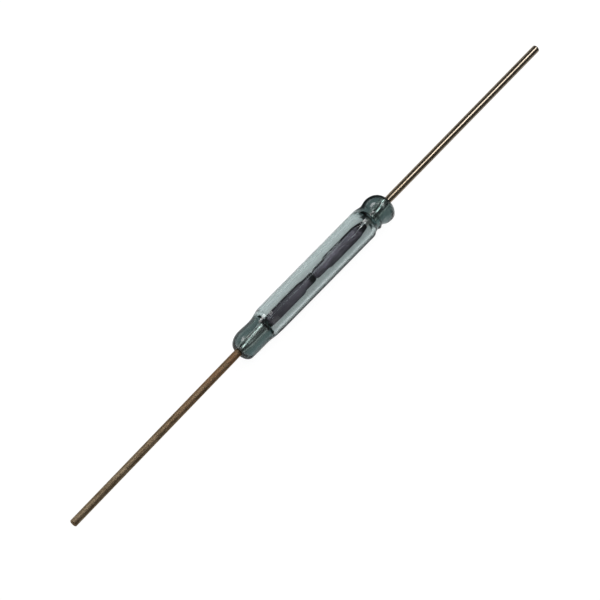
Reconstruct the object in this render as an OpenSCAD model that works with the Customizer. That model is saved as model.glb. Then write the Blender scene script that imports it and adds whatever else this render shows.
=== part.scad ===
// Glass reed switch, in millimetres.
// X runs along the switch from end A to end B, Z is square to the blades' flat faces,
// and the origin is the middle of the switch. End B is drawn on the +X side.
// End A is the same reed turned half a turn about Y, so the two contact faces meet.

/* [Glass capsule] */
// Outside diameter of the straight tube
tube_d = 2; // [1.8:0.05:2.6]
// Wall of the straight tube
tube_wall = 0.28; // [0.2:0.01:0.4]
// Diameter of the long seal at end A
long_seal_d = 1.76; // [1.5:0.02:1.9]
// Length of glass fused to the wire in the long seal
long_seal_len = 2.38; // [1.6:0.02:3.5]
// Length of the melted shoulder from the tube down to the long seal
long_shoulder_len = 0.9; // [0.6:0.05:1.4]
// Length of the melted rim at the end of the long seal
long_rim_len = 0.65; // [0.4:0.05:1.1]
// How far the melted rim draws in towards the wire
long_rim_in = 0.5; // [0.3:0.02:0.58]
// Length of glass fused to the wire in the neck and bulb
bulb_seal_len = 1.63; // [1.5:0.01:2.6]
// Diameter of the neck between the tube and the bulb
neck_d = 1.76; // [1.5:0.02:1.9]
// Length of the melted shoulder from the tube down to the neck
neck_shoulder_len = 0.6; // [0.4:0.05:0.8]
// Diameter of the bulb at end B
bulb_d = 2; // [1.8:0.02:2.4]
// Length of the melted shoulder from the neck up to the bulb
bulb_shoulder_len = 0.45; // [0.2:0.05:0.6]
// Length of the bulb at its full diameter, before it rounds in to the wire
bulb_land = 0.15; // [0.05:0.05:0.3]
// Length of the dome that closes the bore on each wire
dome_len = 0.4; // [0.2:0.02:0.5]
// How far each melted shoulder starts before the bore ends
shoulder_lead = 0.12; // [0:0.02:0.3]
// Length of full bore past the root of blade A
bore_run_a = 0.35; // [0.2:0.05:1.5]
// Length of full bore past the root of blade B
bore_run_b = 1.1; // [0.2:0.05:1.5]

/* [Leads] */
// Diameter of the tinned lead
lead_d = 0.5; // [0.4:0.01:0.6]
// Thickness of the tin on the lead, which the wire in the glass doesn't have
tin = 0.01; // [0.005:0.005:0.02]
// Length over which the tin thins out next to the glass
tin_runout = 0.6; // [0.2:0.1:2]
// Length of each lead outside the glass
lead_len = 15; // [6:0.5:25]
// Bevel left by the shear on the end of lead A
sheared_edge_a = 0.04; // [0.01:0.01:0.1]
// Radius of the tumbled end of lead B
round_end_b = 0.12; // [0.05:0.01:0.2]

/* [Blades] */
// Length of a blade from its root to its tip
blade_len = 3.96; // [3:0.02:6]
// Width of the thin, springy part of a blade
blade_w = 0.8; // [0.6:0.02:1]
// Thickness of the springy part
blade_t = 0.18; // [0.12:0.01:0.24]
// Length of the contact part at the tip
contact_len = 1.1; // [0.6:0.05:1.6]
// Width of the contact part
contact_w = 0.65; // [0.5:0.01:0.8]
// Thickness of the contact part
contact_t = 0.24; // [0.16:0.01:0.3]
// Length over which the springy part steps to the contact part
step_len = 0.2; // [0.05:0.05:0.4]
// Width of the flat left at the tip between its two rounded corners
tip_flat = 0.05; // [0.02:0.01:0.3]
// How far the two tips lie over each other
overlap = 0.18; // [0.1:0.02:0.8]
// Open gap between the two contact faces
contact_gap = 0.08; // [0.04:0.01:0.12]
// Length of the swaged shoulder from the round wire to the flat blade
swage_len = 1; // [0.6:0.1:1.5]
// How far the swaging die stands clear of the round wire where its flats run out
die_clearance = 0.02; // [0.01:0.01:0.04]

/* [Hidden] */
$fn = 96;
// Facets of each rounded stretch of the glass profile, and of each corner of a blade's tip
melt_steps = 9;
// Radius of the seat in which the glass closes on a wire, as a share of the wire's own
seat_share = 0.9;

tube_r = tube_d / 2;
bore_r = tube_r - tube_wall;
lead_r = lead_d / 2;
wire_r = lead_r - tin;
long_seal_r = long_seal_d / 2;
neck_r = neck_d / 2;
bulb_r = bulb_d / 2;

// The inner face of a blade, and the stretch of X that it takes up on the +X side
face_z = contact_gap / 2;
tip_x = -overlap / 2;
contact_x = tip_x + contact_len;
root_x = tip_x + blade_len;
wire_x = root_x + swage_len;
tip_r = (contact_w - tip_flat) / 2;

// The bore closes on each wire in a dome, and the seal starts at the top of that dome.
// The curves of the domes and of the bulb run on to a seat inside the wire, which fills it.
seat_r = seat_share * wire_r;
dome_rise = bore_r - seat_r;
bore_a = root_x + bore_run_a;
bore_b = root_x + bore_run_b;
glass_a = bore_a + dome_len + long_seal_len;
glass_b = bore_b + dome_len + bulb_seal_len;
bulb_x = glass_b - (bulb_r - seat_r);
tube_a = bore_a - shoulder_lead;
tube_b = bore_b - shoulder_lead;

// Wide enough to take in the whole blade, for prisms that are cut to its outlines
prism = 2 * tube_d;

glass_colour = [0.62, 0.70, 0.67, 0.45];
brown_lead = [0.47, 0.39, 0.31];
bright_lead = [0.62, 0.56, 0.49];
dark_blade = [0.29, 0.27, 0.30];

// Points of an arc with its own half-size each way, from one angle to another
function oval_arc(centre, half, from, to) =
    [for (i = [0 : melt_steps])
        let (angle = from + (to - from) * i / melt_steps)
        centre + [half[0] * cos(angle), half[1] * sin(angle)]];

// Points of a round arc
function arc(centre, r, from, to) = oval_arc(centre, [r, r], from, to);

// Points of a soft step between two points of a profile, level at both ends
function melted_step(from, to) =
    [for (i = [0 : melt_steps])
        let (share = i / melt_steps)
        [from[0] + (to[0] - from[0]) * (1 - cos(180 * share)) / 2,
         from[1] + (to[1] - from[1]) * share]];

// Turns a profile of [radius, x] points about the X axis
module turned(profile) {
    rotate([0, 90, 0])
        rotate_extrude()
            polygon(profile);
}

// Turns what is drawn for end B round to end A
module at_end_a() {
    rotate([0, 180, 0])
        children();
}

// Outside of the capsule: melted rim and long seal, tube, neck and bulb
function capsule_outline() = concat(
    [[0, -glass_a]],
    oval_arc([long_seal_r - long_rim_in, long_rim_len - glass_a], [long_rim_in, long_rim_len], -90, 0),
    melted_step([long_seal_r, -tube_a - long_shoulder_len], [tube_r, -tube_a]),
    melted_step([tube_r, tube_b], [neck_r, tube_b + neck_shoulder_len]),
    melted_step([neck_r, bulb_x - bulb_land - bulb_shoulder_len], [bulb_r, bulb_x - bulb_land]),
    arc([seat_r, bulb_x], bulb_r - seat_r, 0, 90),
    [[0, glass_b]]
);

// Inside of the capsule: the bore, with a dome at each end
function bore_outline() = concat(
    [[0, -bore_a - dome_len]],
    oval_arc([seat_r, -bore_a], [dome_rise, dome_len], -90, 0),
    oval_arc([seat_r, bore_b], [dome_rise, dome_len], 0, 90),
    [[0, bore_b + dome_len]]
);

// A shoulder that starts as round wire and ends as a flat blade, between the die's two pairs of faces
module swaged_shoulder() {
    flare_r = norm([blade_w / 2, face_z + blade_t]) + die_clearance;
    die_r = wire_r + die_clearance;
    intersection() {
        translate([wire_x, 0, 0])
            rotate([0, -90, 0])
                cylinder(h = swage_len, r1 = wire_r, r2 = flare_r);
        linear_extrude(height = prism, center = true)
            polygon([[root_x, -blade_w / 2], [wire_x, -die_r], [wire_x, die_r], [root_x, blade_w / 2]]);
        rotate([90, 0, 0])
            linear_extrude(height = prism, center = true)
                polygon([[root_x, face_z], [wire_x, -die_r], [wire_x, die_r], [root_x, face_z + blade_t]]);
    }
}

// The still part of a reed: the lead outside, the wire in the seal and the swaged shoulder,
// which takes in the start of the wire so that the two are one solid
module reed_lead(glass_end, lead_end) {
    wire_start = wire_x - die_clearance;
    turned(concat(
        [[0, wire_start], [wire_r, wire_start], [wire_r, glass_end], [lead_r, glass_end + tin_runout]],
        lead_end,
        [[0, glass_end + lead_len]]
    ));
    swaged_shoulder();
}

// The part of a reed that flexes, cut to its outline from above and from the side
module reed_blade() {
    intersection() {
        linear_extrude(height = prism, center = true)
            polygon(concat(
                [[root_x, -blade_w / 2], [root_x, blade_w / 2],
                 [contact_x + step_len, blade_w / 2], [contact_x, contact_w / 2]],
                arc([tip_x + tip_r, contact_w / 2 - tip_r], tip_r, 90, 180),
                arc([tip_x + tip_r, tip_r - contact_w / 2], tip_r, 180, 270),
                [[contact_x, -contact_w / 2], [contact_x + step_len, -blade_w / 2]]
            ));
        rotate([90, 0, 0])
            linear_extrude(height = prism, center = true)
                polygon([
                    [root_x, face_z], [root_x, face_z + blade_t],
                    [contact_x + step_len, face_z + blade_t], [contact_x, face_z + contact_t],
                    [tip_x, face_z + contact_t], [tip_x, face_z]
                ]);
    }
}

// The end of a lead as a shear leaves it: a flat face with a small bevel
function sheared_end(end_x, edge) = [[lead_r, end_x - edge], [lead_r - edge, end_x]];

// The end of a lead as tumbling leaves it: a flat face with a rounded edge
function tumbled_end(end_x, r) = arc([lead_r - r, end_x - r], r, 0, 90);

module lead_shape_a() {
    at_end_a()
        reed_lead(glass_a, sheared_end(glass_a + lead_len, sheared_edge_a));
}

module lead_shape_b() {
    reed_lead(glass_b, tumbled_end(glass_b + lead_len, round_end_b));
}

module glass_capsule() {
    color(glass_colour)
        difference() {
            turned(capsule_outline());
            turned(bore_outline());
            lead_shape_a();
            lead_shape_b();
        }
}

module lead_a() {
    color(brown_lead)
        lead_shape_a();
}

module lead_b() {
    color(bright_lead)
        lead_shape_b();
}

module blade_a() {
    color(dark_blade)
        at_end_a()
            reed_blade();
}

module blade_b() {
    color(dark_blade)
        reed_blade();
}

glass_capsule();
lead_a();
lead_b();
blade_a();
blade_b();
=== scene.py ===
import math

import bpy
from mathutils import Matrix, Vector


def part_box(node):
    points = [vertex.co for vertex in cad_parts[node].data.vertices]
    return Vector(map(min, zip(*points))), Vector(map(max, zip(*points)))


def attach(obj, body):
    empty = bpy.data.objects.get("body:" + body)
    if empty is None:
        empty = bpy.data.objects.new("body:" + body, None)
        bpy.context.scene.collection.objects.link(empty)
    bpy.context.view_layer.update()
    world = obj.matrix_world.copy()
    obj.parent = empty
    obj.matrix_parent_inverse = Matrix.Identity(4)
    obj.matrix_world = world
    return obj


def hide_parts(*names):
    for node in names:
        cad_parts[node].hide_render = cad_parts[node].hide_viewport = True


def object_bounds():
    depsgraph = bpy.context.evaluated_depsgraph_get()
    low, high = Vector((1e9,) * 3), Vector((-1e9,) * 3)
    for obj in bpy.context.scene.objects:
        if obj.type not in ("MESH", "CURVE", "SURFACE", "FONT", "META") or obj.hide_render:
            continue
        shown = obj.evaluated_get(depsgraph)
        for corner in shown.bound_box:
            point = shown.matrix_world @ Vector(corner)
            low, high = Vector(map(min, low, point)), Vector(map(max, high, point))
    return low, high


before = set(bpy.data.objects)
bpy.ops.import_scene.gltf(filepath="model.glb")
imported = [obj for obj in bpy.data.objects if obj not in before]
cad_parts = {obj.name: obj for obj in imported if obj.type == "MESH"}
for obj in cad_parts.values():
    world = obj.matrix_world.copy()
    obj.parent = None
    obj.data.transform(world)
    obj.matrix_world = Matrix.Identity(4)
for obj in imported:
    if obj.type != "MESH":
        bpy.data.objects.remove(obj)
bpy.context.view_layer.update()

# Pieces are shaped in millimetres and then brought to metres, so that no operator's tolerance
# is too coarse. Sizes and places of the object are in millimetres throughout. The scales of patterns
# and the density of the glass are per metre
MM = 0.001
X, Y, Z = range(3)


def solid_corners(node):
    """Lowest and highest corner of a solid, to a tenth of a micrometre."""
    return [[round(side / MM, 4) for side in corner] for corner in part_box(node)]


GLASS_LOW = solid_corners("glass_capsule")[0]
LEAD_LOW, LEAD_HIGH = solid_corners("lead_b")
BLADE_LOW, BLADE_HIGH = solid_corners("blade_b")

# Blades, for the one on the +X side
TIP_X = BLADE_LOW[X]
ROOT_X = BLADE_HIGH[X]
FACE_Z = BLADE_LOW[Z]
BLADE_W = BLADE_HIGH[Y] - BLADE_LOW[Y]
BLADE_T = 0.18
CONTACT_LENGTH = 1.1
CONTACT_X = TIP_X + CONTACT_LENGTH
CONTACT_W = 0.65
CONTACT_T = BLADE_HIGH[Z] - FACE_Z
STEP_LENGTH = 0.2
TIP_FLAT = 0.05
TIP_R = (CONTACT_W - TIP_FLAT) / 2
PRESSED_EDGE = 0.05
PRESSED_EDGE_STEPS = 3
PRESSED_EDGE_LIMIT_DEG = 40
# Gap at the root, so that the blade can turn without cutting into its shoulder
HINGE_RELIEF = 0.002

# Wires, for the one on the +X side
LEAD_R = -LEAD_LOW[Z]
LEAD_END = LEAD_HIGH[X]
TIN = 0.01
WIRE_R = LEAD_R - TIN
TIN_RUNOUT = 0.6
SHEARED_EDGE = 0.04
ROUND_END = 0.12
SWAGE_LENGTH = 1.0
SWAGE_STEPS = 4
WIRE_X = ROOT_X + SWAGE_LENGTH
DIE_CLEARANCE = 0.02
DIE_R = WIRE_R + DIE_CLEARANCE
FLARE_R = math.hypot(BLADE_W / 2, FACE_Z + BLADE_T) + DIE_CLEARANCE
BENT_A_DEG = 0.49
BENT_B_DEG = -0.12

# Glass capsule, along X from end A to end B
GLASS_END = -GLASS_LOW[X]
BORE_R = 0.72
BORE_RUN_A = 0.35
BORE_RUN_B = 1.1
BORE_A = ROOT_X + BORE_RUN_A
BORE_B = ROOT_X + BORE_RUN_B
DOME_LENGTH = 0.4
# How much sooner the dome at end B starts than the part's, and how blunt (below 1) each dome is
DOME_B_RUN = 0.36
DOME_A_POWER = 0.7
DOME_B_POWER = 1.3
BORE_LEAN_DEG = 10
SEATED_BORE_R = 0.225

# The melted glass isn't quite round. Each place has its X and the radius on its +Y side and on its -Y side
TUBE_START = -3.7
TUBE_END = 4.3
OUTLINE = (
    (-GLASS_END, 0.89, 0.86),
    (-6.0, 0.895, 0.87),
    (-5.0, 0.862, 0.885),
    (-4.5, 0.975, 0.955),
    (-4.15, 1.035, 0.97),
    (TUBE_START, 1.045, 0.985),
    (TUBE_END, 1.045, 1.0),
    (4.7, 1.045, 1.0),
    (4.8, 1.045, 0.982),
    (4.95, 1.033, 0.9),
    (5.1, 1.01, 0.85),
    (5.45, 0.932, 0.832),
    (5.62, 0.935, 0.82),
    (5.8, 0.98, 0.85),
    (6.05, 1.015, 1.0),
    (6.4, 0.995, 1.045),
    (GLASS_END, 0.96, 1.04),
)
# Columns of the outline for its +Y side and its -Y side, and how both ends round in towards the wire there
UPPER, LOWER = 1, 2
RIM_LENGTH = {UPPER: 0.95, LOWER: 0.42}
RIM_DRAW_IN = {UPPER: 0.55, LOWER: 0.5}
BULB_ROUND = {UPPER: 0.85, LOWER: 0.6}
# A drop that the flame left on the -Y side of the neck, turned a little to the top
DROP_X = 5.36
DROP_TURN_DEG = 12
DROP_HEIGHT = 0.1
DROP_REACH = 0.22

# Fineness of the meshes
GLASS_SIDES = 96
WIRE_SIDES = 48
MELT_STEPS = 12
TIP_STEPS = 8
TUBE_STEPS = 8
RING_GAP = 0.06
TOUCH = 1e-4
MERGE_GAP = 1e-5
CUT_GAP = 1e-6
GLASS_SMOOTH_DEG = 50
WIRE_SMOOTH_DEG = 30
BLADE_SMOOTH_DEG = 15


class Wire:
    """One output of a shader tree. Arithmetic on it adds Math nodes, and node() adds any other node."""

    def __init__(self, tree, socket=None):
        self.tree = tree
        self.socket = socket

    def node(self, kind, inputs=None, output=0, **settings):
        made = self.tree.nodes.new("ShaderNode" + kind)
        for name, value in settings.items():
            setattr(made, name, value)
        for name, value in (inputs or {}).items():
            if isinstance(value, Wire):
                self.tree.links.new(value.socket, made.inputs[name])
            else:
                made.inputs[name].default_value = value
        return Wire(self.tree, made.outputs[output] if made.outputs else None)

    def math(self, operation, *values):
        return self.node("Math", dict(enumerate(values)), operation=operation)

    def __add__(self, other):
        return self.math("ADD", self, other)

    def __sub__(self, other):
        return self.math("SUBTRACT", self, other)

    def __rsub__(self, other):
        return self.math("SUBTRACT", other, self)

    def __mul__(self, other):
        return self.math("MULTIPLY", self, other)

    def __truediv__(self, other):
        return self.math("DIVIDE", self, other)

    def __rtruediv__(self, other):
        return self.math("DIVIDE", other, self)

    def __abs__(self):
        return self.math("ABSOLUTE", self)

    __radd__ = __add__
    __rmul__ = __mul__

    def between(self, low, high):
        """0 below low, 1 above high and a soft step from one to the other."""
        span = {"Value": self, "From Min": low, "From Max": high}
        return self.node("MapRange", span, interpolation_type="SMOOTHSTEP")

    def mix(self, dark, light):
        """The colour from dark to light that this value asks for."""
        return self.node("Mix", {0: self, 6: dark, 7: light}, output=2, data_type="RGBA")

    def axis(self, letter):
        """One axis of a vector."""
        return self.node("SeparateXYZ", {"Vector": self}, output=letter)


def new_tree(name):
    material = bpy.data.materials.new(name)
    material.use_nodes = True
    material.node_tree.nodes.clear()
    return material, Wire(material.node_tree)


def colour(red, green, blue):
    return (red, green, blue, 1.0)


# Shaping tools


def begin(add, **settings):
    """Adds a primitive with nothing else selected and opens it in edit mode."""
    bpy.ops.object.select_all(action="DESELECT")
    add(**settings)
    piece = bpy.context.object
    bpy.ops.object.transform_apply(location=True, rotation=True, scale=True)
    bpy.ops.object.mode_set(mode="EDIT")
    return piece


def pick_faces(piece, wanted):
    """Selects the faces whose centre and normal pass the test, and nothing else."""
    bpy.ops.mesh.select_mode(type="FACE")
    bpy.ops.mesh.select_all(action="DESELECT")
    bpy.ops.object.mode_set(mode="OBJECT")
    for face in piece.data.polygons:
        face.select = wanted(face.center, face.normal)
    bpy.ops.object.mode_set(mode="EDIT")


def pick_points(piece, wanted):
    """Selects the points whose place passes the test, and nothing else."""
    bpy.ops.mesh.select_mode(type="VERT")
    bpy.ops.mesh.select_all(action="DESELECT")
    bpy.ops.object.mode_set(mode="OBJECT")
    for point in piece.data.vertices:
        point.select = wanted(point.co)
    bpy.ops.object.mode_set(mode="EDIT")


def pick_ring(piece, x):
    """Selects the ring of edges at x without its cap, so that the next extrusion leaves the cap behind."""
    bpy.ops.mesh.select_mode(type="EDGE")
    bpy.ops.mesh.select_all(action="DESELECT")
    bpy.ops.object.mode_set(mode="OBJECT")
    points = piece.data.vertices
    for edge in piece.data.edges:
        edge.select = all(abs(points[i].co.x - x) < TOUCH for i in edge.vertices)
    bpy.ops.object.mode_set(mode="EDIT")


def draw_on(before, after):
    """Extrudes the selected ring to the next one. A ring is its X, its radius and the Y of its centre."""
    (x_from, r_from, y_from), (x_to, r_to, y_to) = before, after
    bpy.ops.mesh.extrude_edges_move(
        TRANSFORM_OT_translate={"value": (x_to - x_from, y_to - y_from, 0)}
    )
    size = r_to / r_from
    bpy.ops.transform.resize(value=(1, size, size), center_override=(x_to, y_to, 0))


def turned(rings, sides, closed):
    """A form drawn from ring to ring along X, either closed on its first ring or capped at both ends."""
    x, r, y = rings[0]
    piece = begin(
        bpy.ops.mesh.primitive_circle_add,
        vertices=sides,
        radius=r,
        location=(x, y, 0),
        rotation=(0, math.pi / 2, 0),
        fill_type="NOTHING",
    )
    bpy.ops.mesh.select_mode(type="EDGE")
    bpy.ops.mesh.select_all(action="SELECT")
    if not closed:
        bpy.ops.mesh.edge_face_add()
        pick_ring(piece, x)
    for before, after in zip(rings, rings[1:]):
        draw_on(before, after)
    if closed:
        bpy.ops.mesh.select_all(action="SELECT")
        bpy.ops.mesh.remove_doubles(threshold=MERGE_GAP)
    else:
        bpy.ops.mesh.edge_face_add()
    face_outwards()
    return piece


def face_outwards():
    """Selects the whole of the open piece and turns its faces outwards."""
    bpy.ops.mesh.select_all(action="SELECT")
    bpy.ops.mesh.normals_make_consistent(inside=False)


def turned_to_end_a(piece):
    """Turns a piece that was shaped for end B half a turn about Y, to end A."""
    bpy.ops.object.mode_set(mode="OBJECT")
    piece.rotation_euler = (0, math.pi, 0)
    bpy.ops.object.transform_apply(location=False, rotation=True, scale=False)
    bpy.ops.object.mode_set(mode="EDIT")


def finished(piece, name, finish, smooth_deg):
    """Brings a piece from millimetres to metres and gives it its name, shading and material."""
    bpy.ops.object.mode_set(mode="OBJECT")
    piece.name = name
    piece.scale = (MM, MM, MM)
    bpy.ops.object.transform_apply(location=False, rotation=False, scale=True)
    bpy.ops.object.shade_smooth_by_angle(angle=math.radians(smooth_deg))
    piece.data.materials.append(finish)
    return piece


def quarter_turn(steps):
    """Angles from 0 to a right angle."""
    return [math.pi / 2 * i / steps for i in range(steps + 1)]


# Glass capsule


def round_over(share):
    """0 to 1 along a quarter of an ellipse, steep first and level at the end."""
    share = min(max(share, 0.0), 1.0)
    return math.sqrt(1 - (1 - share) ** 2)


def spaced(start, end, steps):
    """Places from start to end, without the last."""
    return [start + (end - start) * i / steps for i in range(steps)]


def eased(start, end, steps):
    """Places from start to end that lie close together at the start, without the last."""
    return [start + (end - start) * (1 - math.cos(math.pi / 2 * i / steps)) for i in range(steps)]


def outline_slope(index, side):
    """Slope of the melted outline at one of its places, taken from the places on either side."""
    before = OUTLINE[max(index - 1, 0)]
    after = OUTLINE[min(index + 1, len(OUTLINE) - 1)]
    return (after[side] - before[side]) / (after[0] - before[0])


def outline_radius(x, side):
    """Radius on the smooth curve through the places of the melted outline."""
    index = max(i for i in range(len(OUTLINE) - 1) if OUTLINE[i][0] <= x)
    start, end = OUTLINE[index], OUTLINE[index + 1]
    width = end[0] - start[0]
    share = (x - start[0]) / width
    rest = 1 - share
    level = (1 + 2 * share) * rest ** 2 * start[side] + share ** 2 * (3 - 2 * share) * end[side]
    lean_out = share * rest ** 2 * outline_slope(index, side)
    lean_in = share ** 2 * rest * outline_slope(index + 1, side)
    return level + (lean_out - lean_in) * width


def glass_radius(x, side):
    """Outside radius of the capsule at x on one of its sides, with both ends rounded in."""
    r = outline_radius(x, side)
    rim = 1 - round_over((x + GLASS_END) / RIM_LENGTH[side])
    bulb = 1 - round_over((GLASS_END - x) / BULB_ROUND[side])
    return r - RIM_DRAW_IN[side] * rim - (r - LEAD_R) * bulb


def outer_rings():
    """Rings of the capsule's outside, from end A to end B."""
    rim_end = -GLASS_END + RIM_LENGTH[UPPER]
    bulb_start = GLASS_END - BULB_ROUND[UPPER]
    places = (
        eased(-GLASS_END, rim_end, MELT_STEPS)
        + spaced(rim_end, TUBE_START, round((TUBE_START - rim_end) / RING_GAP))
        + spaced(TUBE_START, TUBE_END, TUBE_STEPS)
        + spaced(TUBE_END, bulb_start, round((bulb_start - TUBE_END) / RING_GAP))
        + [bulb_start]
        + [bulb_start + GLASS_END - x for x in reversed(eased(bulb_start, GLASS_END, MELT_STEPS))]
    )
    rings = []
    for x in places:
        up, low = glass_radius(x, UPPER), glass_radius(x, LOWER)
        rings.append((x, (up + low) / 2, (up - low) / 2))
    return rings


def bore_rings():
    """Rings of the capsule's inside, from end B back to end A, with a dome at each end."""
    height = BORE_R - SEATED_BORE_R
    start_b = BORE_B - DOME_B_RUN
    end_a = []
    end_b = []
    for angle in quarter_turn(MELT_STEPS):
        rise, run = math.sin(angle), max(math.cos(angle), 0)
        along_b = (DOME_LENGTH + DOME_B_RUN) * run ** DOME_B_POWER
        end_b.append((start_b + along_b, SEATED_BORE_R + height * rise ** DOME_B_POWER, 0))
        along_a = DOME_LENGTH * rise ** DOME_A_POWER
        end_a.append((-BORE_A - along_a, SEATED_BORE_R + height * run ** DOME_A_POWER, 0))
    straight = [(start_b - RING_GAP, BORE_R, 0), (RING_GAP - BORE_A, BORE_R, 0)]
    return end_b + straight + end_a


def lean_bore_end(piece):
    """Leans the closed end of the bore over, as the flame closed one side of it sooner."""
    start, end = -BORE_A - DOME_LENGTH - TOUCH, -BORE_A + TOUCH
    pick_points(
        piece, lambda place: start < place.x < end and math.hypot(place.y, place.z) < BORE_R + TOUCH
    )
    bpy.ops.transform.rotate(
        value=math.radians(BORE_LEAN_DEG),
        orient_axis="Z",
        center_override=(-BORE_A - DOME_LENGTH / 2, 0, 0),
    )


def pull_drop(piece):
    """Pulls a small drop of glass out of the neck, where the flame left it."""
    turn = math.radians(DROP_TURN_DEG)
    outward = Vector((0, -math.cos(turn), math.sin(turn)))
    neck = Vector((DROP_X, 0, 0)) + outward * outline_radius(DROP_X, LOWER)
    bpy.ops.object.mode_set(mode="OBJECT")
    places = [point.co.copy() for point in piece.data.vertices]
    bpy.ops.object.mode_set(mode="EDIT")
    nearest = min(places, key=lambda place: (place - neck).length)
    pick_points(piece, lambda place: place == nearest)
    bpy.ops.transform.translate(
        value=outward * DROP_HEIGHT,
        use_proportional_edit=True,
        use_proportional_connected=True,
        proportional_edit_falloff="SMOOTH",
        proportional_size=DROP_REACH,
    )


def make_capsule_glass(finish):
    seat_a = (-GLASS_END, SEATED_BORE_R, 0)
    seat_b = (GLASS_END, SEATED_BORE_R, 0)
    rings = [seat_a] + outer_rings() + [seat_b] + bore_rings() + [seat_a]
    piece = turned(rings, GLASS_SIDES, closed=True)
    lean_bore_end(piece)
    pull_drop(piece)
    return finished(piece, "capsule_glass", finish, GLASS_SMOOTH_DEG)


# Reeds


def cut_flat(piece, co, no):
    """Cuts a flat on the swaged shoulder, as the die does."""
    pick_faces(piece, lambda centre, normal: centre.x < WIRE_X - TOUCH)
    bpy.ops.mesh.bisect(
        plane_co=co, plane_no=no, use_fill=True, clear_outer=True, threshold=CUT_GAP
    )


def make_wire(end_rings):
    """A lead, the wire in its seal and its swaged shoulder, shaped for end B."""
    rings = end_rings + [(GLASS_END + TIN_RUNOUT, LEAD_R, 0), (GLASS_END, WIRE_R, 0)]
    for step in range(SWAGE_STEPS + 1):
        share = step / SWAGE_STEPS
        rings.append((WIRE_X - SWAGE_LENGTH * share, WIRE_R + (FLARE_R - WIRE_R) * share, 0))
    piece = turned(rings, WIRE_SIDES, closed=False)
    for side in (1, -1):
        cut_flat(piece, (WIRE_X, side * DIE_R, 0), (BLADE_W / 2 - DIE_R, side * SWAGE_LENGTH, 0))
    cut_flat(piece, (WIRE_X, 0, DIE_R), (FACE_Z + BLADE_T - DIE_R, 0, SWAGE_LENGTH))
    cut_flat(piece, (WIRE_X, 0, -DIE_R), (-FACE_Z - DIE_R, 0, -SWAGE_LENGTH))
    face_outwards()
    return piece


def bend_lead(piece, end, turn_deg):
    """Bends the lead a little where it leaves the glass, as handling does. End A is -1 and end B is 1."""
    pick_points(piece, lambda place: end * place.x > GLASS_END + TIN_RUNOUT / 2)
    bpy.ops.transform.rotate(
        value=math.radians(end * turn_deg), orient_axis="Z", center_override=(end * GLASS_END, 0, 0)
    )


def make_tarnished_wire(finish):
    ends = [(LEAD_END, LEAD_R - SHEARED_EDGE, 0), (LEAD_END - SHEARED_EDGE, LEAD_R, 0)]
    piece = make_wire(ends)
    turned_to_end_a(piece)
    bend_lead(piece, -1, BENT_A_DEG)
    return finished(piece, "tarnished_wire", finish, WIRE_SMOOTH_DEG)


def make_bright_wire(finish):
    flat_x, flat_r = LEAD_END - ROUND_END, LEAD_R - ROUND_END
    ends = [
        (flat_x + ROUND_END * math.cos(angle), flat_r + ROUND_END * math.sin(angle), 0)
        for angle in quarter_turn(TIP_STEPS)
    ]
    piece = make_wire(ends)
    bend_lead(piece, 1, BENT_B_DEG)
    return finished(piece, "bright_wire", finish, WIRE_SMOOTH_DEG)


def press_on(x_from, x_to, width_share, thick_share=1.0, from_z=0.0):
    """Extrudes the blade's selected end face to x_to, at a share of its width and thickness."""
    bpy.ops.mesh.extrude_region_move(TRANSFORM_OT_translate={"value": (x_to - x_from, 0, 0)})
    bpy.ops.transform.resize(value=(1, width_share, thick_share), center_override=(x_to, 0, from_z))


def make_blade(name, finish, at_end_a):
    """A flat springy blade that ends in a narrower, thicker contact part with a rounded tip."""
    spring_end = CONTACT_X + STEP_LENGTH
    root = ROOT_X - HINGE_RELIEF
    piece = begin(
        bpy.ops.mesh.primitive_cube_add,
        size=1,
        location=((root + spring_end) / 2, 0, FACE_Z + BLADE_T / 2),
        scale=(root - spring_end, BLADE_W, BLADE_T),
    )
    pick_faces(piece, lambda centre, normal: normal.x < -0.9)
    press_on(spring_end, CONTACT_X, CONTACT_W / BLADE_W, CONTACT_T / BLADE_T, FACE_Z)
    press_on(CONTACT_X, TIP_X + TIP_R, 1.0)
    half, x = CONTACT_W / 2, TIP_X + TIP_R
    for angle in quarter_turn(TIP_STEPS)[1:]:
        next_half = CONTACT_W / 2 - TIP_R * (1 - math.cos(angle))
        next_x = TIP_X + TIP_R * (1 - math.sin(angle))
        press_on(x, next_x, next_half / half)
        half, x = next_half, next_x
    face_outwards()
    if at_end_a:
        turned_to_end_a(piece)
    bpy.ops.object.mode_set(mode="OBJECT")
    edge = piece.modifiers.new("pressed_edge", "BEVEL")
    edge.width = PRESSED_EDGE
    edge.segments = PRESSED_EDGE_STEPS
    edge.limit_method = "ANGLE"
    edge.angle_limit = math.radians(PRESSED_EDGE_LIMIT_DEG)
    bpy.ops.object.modifier_apply(modifier=edge.name)
    bpy.ops.object.mode_set(mode="EDIT")
    return finished(piece, name, finish, BLADE_SMOOTH_DEG)


# Glass finish

GLASS_TINT = colour(0.211, 0.373, 0.37)
GLASS_DENSITY = 1420.0
GLASS_SHADOW = colour(0.69, 0.72, 0.72)
# Colour of the shade painted on the glass's rim
GLASS_EDGE_SHADE = colour(0.008, 0.011, 0.011)
GLASS_WAVES = (0, 2600, 2600)
# Where the hollow tube passes into solid glass, along X, and where its sides lie, along Y, for the painted
# shade on its rim
SOLID_A = (-5.0, -4.5)
SOLID_B = (4.8, 5.4)
UPPER_SIDE = (-0.6, 0.4)
TUBE_UNDERSIDE = (-0.95, -0.7)
# How much painted shade darkens the glass where it turns away: on the -Y side, and what the +Y side has
# more
BULB_EDGE_SHADE = (0.1, 0.88)
SEAL_EDGE_SHADE = (0.35, 0.2)
TUBE_EDGE_SHADE = 0.7
EDGE_SHADE_FACING = (0.32, 0.5)
TUBE_ROUGHNESS = 0.03
SOLID_ROUGHNESS = 0.2


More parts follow.
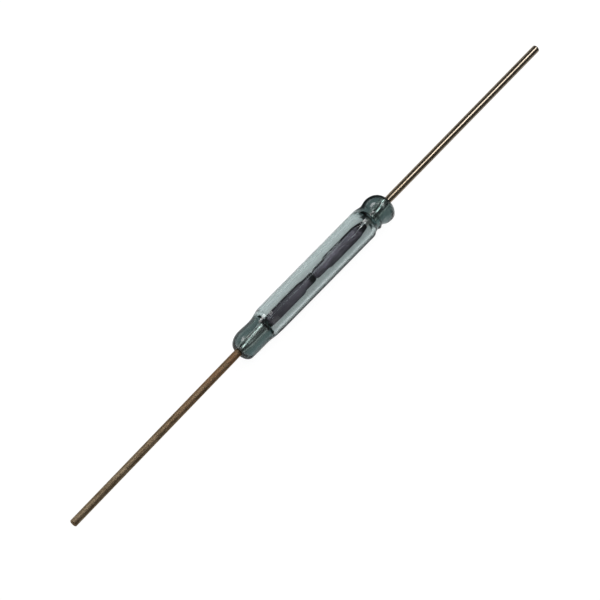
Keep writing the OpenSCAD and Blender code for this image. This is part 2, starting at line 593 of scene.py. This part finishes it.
def clear_glass():
    """Pale green-grey glass, with faint waves drawn along the tube and painted shade on its rim where it
    turns away.
    """
    material, tree = new_tree("pale_green_glass")
    place = tree.node("TexCoord", output="Object")
    x, y = place.axis("X") / MM, place.axis("Y") / MM
    along = tree.node("Mapping", {"Vector": place, "Scale": GLASS_WAVES})
    waves = tree.node("TexNoise", {"Vector": along, "Scale": 1.0, "Detail": 2.0})
    bump = tree.node("Bump", {"Height": waves, "Strength": 0.004, "Distance": 0.00002})
    bulb = x.between(*SOLID_B)
    seal = 1 - x.between(*SOLID_A)
    solid = bulb + seal
    upper = y.between(*UPPER_SIDE)
    underside = 1 - y.between(*TUBE_UNDERSIDE)
    # Painted shade on the rim: most on the +Y side of the bulb, less on the seal, and on the -Y side of
    # the tube
    bulb_shade_share = bulb * (BULB_EDGE_SHADE[0] + BULB_EDGE_SHADE[1] * upper)
    seal_shade_share = seal * (SEAL_EDGE_SHADE[0] + SEAL_EDGE_SHADE[1] * upper)
    tube_shade_share = (1 - solid) * underside * TUBE_EDGE_SHADE
    facing = tree.node("LayerWeight", {"Blend": 0.5}, output="Facing")
    # The rim of the glass, where it turns away from the eye, is darkened by painted shade
    rim = facing.between(*EDGE_SHADE_FACING) * (bulb_shade_share + seal_shade_share + tube_shade_share)
    body = tree.node(
        "BsdfPrincipled",
        {
            "Base Color": colour(1, 1, 1),
            "Roughness": TUBE_ROUGHNESS * waves + SOLID_ROUGHNESS * solid,
            "IOR": 1.5,
            "Transmission Weight": 1.0,
            "Normal": bump,
        },
    )
    # A dark diffuse shade painted over the glass at its rim
    painted_edge_shade = tree.node("BsdfDiffuse", {"Color": GLASS_EDGE_SHADE})
    edge_shaded = tree.node("MixShader", {0: rim, 1: body, 2: painted_edge_shade})
    lamp_path = tree.node("BsdfTransparent", {"Color": GLASS_SHADOW})
    is_shadow = tree.node("LightPath", output="Is Shadow Ray")
    surface = tree.node("MixShader", {0: is_shadow, 1: edge_shaded, 2: lamp_path})
    depth = tree.node("VolumeAbsorption", {"Color": GLASS_TINT, "Density": GLASS_DENSITY})
    tree.node("OutputMaterial", {"Surface": surface, "Volume": depth})
    return material


# Reed finishes

BLADE_DARK = colour(0.1, 0.085, 0.105)
BLADE_LIGHT = colour(0.16, 0.135, 0.167)
BLADE_ROUGHNESS = 0.45
# Painted shade along the blade edges, also the dark of the swaged shoulder
EDGE_SHADE_AND_DARK_SHOULDER = colour(0.012, 0.012, 0.014)
# Darker where the two blade tips face each other
CONTACT_DARK = colour(0.02, 0.019, 0.022)
BARE_METAL = colour(0.72, 0.7, 0.66)
BARE_ROUGHNESS = 0.16
# How much rougher the bare wire in the bore at end B is, and how much the weathering varies
FROSTED_ROUGHNESS = 0.16
PATCHY_ROUGHNESS = 0.15
EDGE_TINT = colour(0.4, 0.35, 0.3)
TARNISH_DARK = colour(0.15, 0.106, 0.062)
TARNISH_LIGHT = colour(0.32, 0.252, 0.168)
TARNISH_WARM = colour(0.26, 0.155, 0.085)
TARNISH_ROUGHNESS = 0.58
BRIGHT_DARK = colour(0.2, 0.168, 0.13)
BRIGHT_LIGHT = colour(0.29, 0.25, 0.2)
BRIGHT_WARM = colour(0.26, 0.208, 0.15)
BRIGHT_ROUGHNESS = 0.2
DRAWN_GRAIN = (500, 9000, 9000)
PATCH_SCALE = 1500.0
TONE_NOISE = (0.36, 0.64)
WARM_NOISE = (0.3, 0.6)
# Spans over which one finish passes into the next, and where the painted shade on the blade edges lies:
# from the middle along X, or across it where the name ends in Y or Z
WARM_SPAN = (7.0, 18.0)
CONTACT_SPAN = (0.3, 0.55)
CONTACT_DEPTH_Z = (0.05, 0.07)
STEP_SPAN = (1.02, 1.22)
SWAGE_SPAN = (3.9, 4.8)
# Painted shade along the blade edges: how far in from the edge it starts, where across Y it passes from
# the -Y edge to the +Y edge, and the share of it on the -Y edge
EDGE_SHADE_INSET_Y = (-0.17, -0.09)
EDGE_SHADE_SIDE_Y = (-0.1, 0.1)
LOWER_EDGE_SHADE = 0.2
# Span along X over which the swaged shoulder turns dark
SHOULDER_SPAN = (4.05, 4.4)
FUSED_SPAN = (4.7, 4.8)
SEALED_B_SPAN = (5.1, 5.5)
OUTSIDE_SPAN = (6.6, 6.95)


def reed_metal(name, lead_dark, lead_light, lead_warm, lead_roughness):
    """Metal of a reed: dark in the capsule, bare where it nears the glass, weathered outside, with painted
    shade along the blade edges and darker where the tips face each other.
    """
    material, tree = new_tree(name)
    place = tree.node("TexCoord", output="Object")
    x, y, z = (place.axis(letter) / MM for letter in "XYZ")
    reach = abs(x)
    along = tree.node("Mapping", {"Vector": place, "Scale": DRAWN_GRAIN})
    grain = tree.node("TexNoise", {"Vector": along, "Scale": 1.0, "Detail": 4.0})
    patches = tree.node(
        "TexNoise", {"Vector": place, "Scale": PATCH_SCALE, "Detail": 6.0, "Roughness": 0.65}
    )
    tone = (grain * 0.5 + patches * 0.5).between(*TONE_NOISE)
    warmth = (1 - reach.between(*WARM_SPAN)) * patches.between(*WARM_NOISE)
    weathered = warmth.mix(tone.mix(lead_dark, lead_light), lead_warm)
    # Darker on the facing sides of the two tips
    contact = (1 - reach.between(*CONTACT_SPAN)) * (1 - abs(z).between(*CONTACT_DEPTH_Z))
    half_width = (
        CONTACT_W / 2
        + (BLADE_W - CONTACT_W) / 2 * reach.between(*STEP_SPAN)
        - (BLADE_W / 2 - DIE_R) * reach.between(*SWAGE_SPAN)
    )
    # Painted shade along the blade edges: full on the +Y edge, a fifth of it on the -Y edge; the swaged
    # shoulder is made dark too
    edge_shade_share = LOWER_EDGE_SHADE + (1 - LOWER_EDGE_SHADE) * y.between(*EDGE_SHADE_SIDE_Y)
    edge = (abs(y) - half_width).between(*EDGE_SHADE_INSET_Y) * edge_shade_share
    edge_shade_and_dark_shoulder = edge + (1 - edge) * reach.between(*SHOULDER_SPAN)
    sheet = edge_shade_and_dark_shoulder.mix(tone.mix(BLADE_DARK, BLADE_LIGHT), EDGE_SHADE_AND_DARK_SHOULDER)
    blade = contact.mix(sheet, CONTACT_DARK)
    fused = reach.between(*FUSED_SPAN)
    frosted = x.between(*FUSED_SPAN) - x.between(*SEALED_B_SPAN)
    outside = reach.between(*OUTSIDE_SPAN)
    base = outside.mix(fused.mix(blade, BARE_METAL), weathered)
    roughness = (
        BLADE_ROUGHNESS
        + (BARE_ROUGHNESS - BLADE_ROUGHNESS) * fused
        + FROSTED_ROUGHNESS * frosted
        + (lead_roughness - BARE_ROUGHNESS) * outside
        + PATCHY_ROUGHNESS * outside * (patches - 0.5)
    )
    bump = tree.node("Bump", {"Height": grain, "Strength": 0.1, "Distance": 0.00001})
    metal = tree.node(
        "BsdfPrincipled",
        {
            "Base Color": base,
            "Roughness": roughness,
            "Metallic": 1.0,
            "Specular Tint": EDGE_TINT,
            "Normal": bump,
        },
    )
    tree.node("OutputMaterial", {"Surface": metal})
    return material


# Pieces

glass = make_capsule_glass(clear_glass())
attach(glass, "capsule")
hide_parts("glass_capsule")

tarnish = reed_metal("brown_tarnish", TARNISH_DARK, TARNISH_LIGHT, TARNISH_WARM, TARNISH_ROUGHNESS)
wire_a = make_tarnished_wire(tarnish)
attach(wire_a, "capsule")
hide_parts("lead_a")

bright = reed_metal("warm_bright_wire", BRIGHT_DARK, BRIGHT_LIGHT, BRIGHT_WARM, BRIGHT_ROUGHNESS)
wire_b = make_bright_wire(bright)
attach(wire_b, "capsule")
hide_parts("lead_b")

blade_finish = reed_metal("dark_blade_metal", BARE_METAL, BARE_METAL, BARE_METAL, BARE_ROUGHNESS)
for end, at_end_a in (("a", True), ("b", False)):
    blade = make_blade("reed_blade_" + end, blade_finish, at_end_a)
    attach(blade, "reed_" + end)
    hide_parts("blade_" + end)


# Stage: a white floor that the glass rests on

FLOOR_SIZE = 3.0
# How much of the floor is plain white to the eye, in a reflection and through the glass
WHITE_SEEN = 0.9
WHITE_MIRRORED = 0.15
WHITE_THROUGH_GLASS = 0.25


def white_floor():
    """White where it is seen, and lit and shaded like paper underneath."""
    material, tree = new_tree("white_paper")
    paper = tree.node("BsdfDiffuse", {"Color": colour(0.9, 0.9, 0.9)})
    white = tree.node("Emission", {"Color": colour(1, 1, 1), "Strength": 1.05})
    seen = tree.node("LightPath", output="Is Camera Ray")
    mirrored = tree.node("LightPath", output="Is Glossy Ray")
    through_glass = tree.node("LightPath", output="Is Transmission Ray")
    share = WHITE_SEEN * seen + WHITE_MIRRORED * mirrored + WHITE_THROUGH_GLASS * through_glass
    surface = tree.node("MixShader", {0: share, 1: paper, 2: white})
    tree.node("OutputMaterial", {"Surface": surface})
    return material


bpy.ops.object.select_all(action="DESELECT")
bpy.ops.mesh.primitive_plane_add(size=FLOOR_SIZE, location=(0, 0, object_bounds()[0].z))
floor = bpy.context.object
floor.name = "paper_floor"
floor.data.materials.append(white_floor())


# Light, in metres


def add_softbox(name, place, width, length, brightness, mirrored=True):
    """A lamp that faces the object. Brightness is its radiance, where 1 is white."""
    lamp = bpy.data.lights.new(name, "AREA")
    lamp.shape = "RECTANGLE"
    lamp.size = width
    lamp.size_y = length
    lamp.energy = brightness * math.pi * width * length
    box = bpy.data.objects.new(name, lamp)
    box.visible_glossy = mirrored
    box.visible_transmission = mirrored
    place = Vector(place)
    away = place.normalized()
    side = (Vector((1, 0, 0)) - away * away.x).normalized()
    turn = Matrix((side, away.cross(side), away)).transposed().to_4x4()
    box.matrix_world = Matrix.Translation(place) @ turn
    bpy.context.scene.collection.objects.link(box)


add_softbox("key_softbox", (-0.04, 0.31, 0.24), 0.13, 0.13, 8.0)
add_softbox("overhead_softbox_a", (0.069, 0.147, 0.2763), 0.05, 0.156, 3.6)
add_softbox("overhead_softbox_b", (0.182, 0.049, 0.309), 0.1, 0.12, 7.5)
add_softbox("side_softbox", (0.069, -0.18, 0.256), 0.05, 0.25, 0.8)
add_softbox("fill_softbox", (0.0, 0.14, 0.37), 0.45, 0.45, 1.9, mirrored=False)

# Light of the room: at its walls, and what its ceiling has more, in all and on the +Y side
WALL_LIGHT = 0.04
CEILING_LIGHT = 0.1
CEILING_LEFT_LIGHT = 0.05
CEILING_SPAN = (0.2, 0.8)
LEFT_SPAN = (-0.1, 0.6)

world = bpy.data.worlds.new("studio")
bpy.context.scene.world = world
world.use_nodes = True
world.node_tree.nodes.clear()
sky = Wire(world.node_tree)
toward = sky.node("TexCoord", output="Generated")
left = toward.axis("Y").between(*LEFT_SPAN)
ceiling = toward.axis("Z").between(*CEILING_SPAN)
room_light = WALL_LIGHT + ceiling * (CEILING_LIGHT + CEILING_LEFT_LIGHT * left)
room = sky.node("Background", {"Color": colour(1, 1, 1), "Strength": room_light})
white = sky.node("Background", {"Color": colour(1, 1, 1), "Strength": 1.0})
seen = sky.node("LightPath", output="Is Camera Ray")
sky.node("OutputWorld", {"Surface": sky.node("MixShader", {0: seen, 1: room, 2: white})})

# Camera, in metres and pixels, placed so that the middle of the switch and the slope of its axis fall
# where the photograph has them
IMAGE = 600
MIDDLE_PX = (313.42, 275.83)
AXIS_SLOPE_DEG = 45.57
TILT_DEG = 20.0
CAMERA_DISTANCE = 0.19
FOCAL_PX = 3059.0
SENSOR = 36.0

tilt = math.radians(TILT_DEG)
slope = math.radians(AXIS_SLOPE_DEG)
back = Vector((-math.sin(tilt), 0, math.cos(tilt)))
axis = (Vector((1, 0, 0)) - back * back.x).normalized()
across = back.cross(axis)
right = axis * math.cos(slope) - across * math.sin(slope)
up = axis * math.sin(slope) + across * math.cos(slope)
to_middle = (
    right * (MIDDLE_PX[0] - IMAGE / 2) / FOCAL_PX
    - up * (MIDDLE_PX[1] - IMAGE / 2) / FOCAL_PX
    - back
)
camera_data = bpy.data.cameras.new("camera")
camera_data.sensor_width = SENSOR
camera_data.lens = SENSOR * FOCAL_PX / IMAGE
camera_data.clip_start = 0.01
camera_data.clip_end = 10.0
camera = bpy.data.objects.new("camera", camera_data)
turn = Matrix((right, up, back)).transposed().to_4x4()
camera.matrix_world = Matrix.Translation(-to_middle * CAMERA_DISTANCE) @ turn
bpy.context.scene.collection.objects.link(camera)
bpy.context.scene.camera = camera

bpy.context.scene.view_settings.view_transform = "Standard"
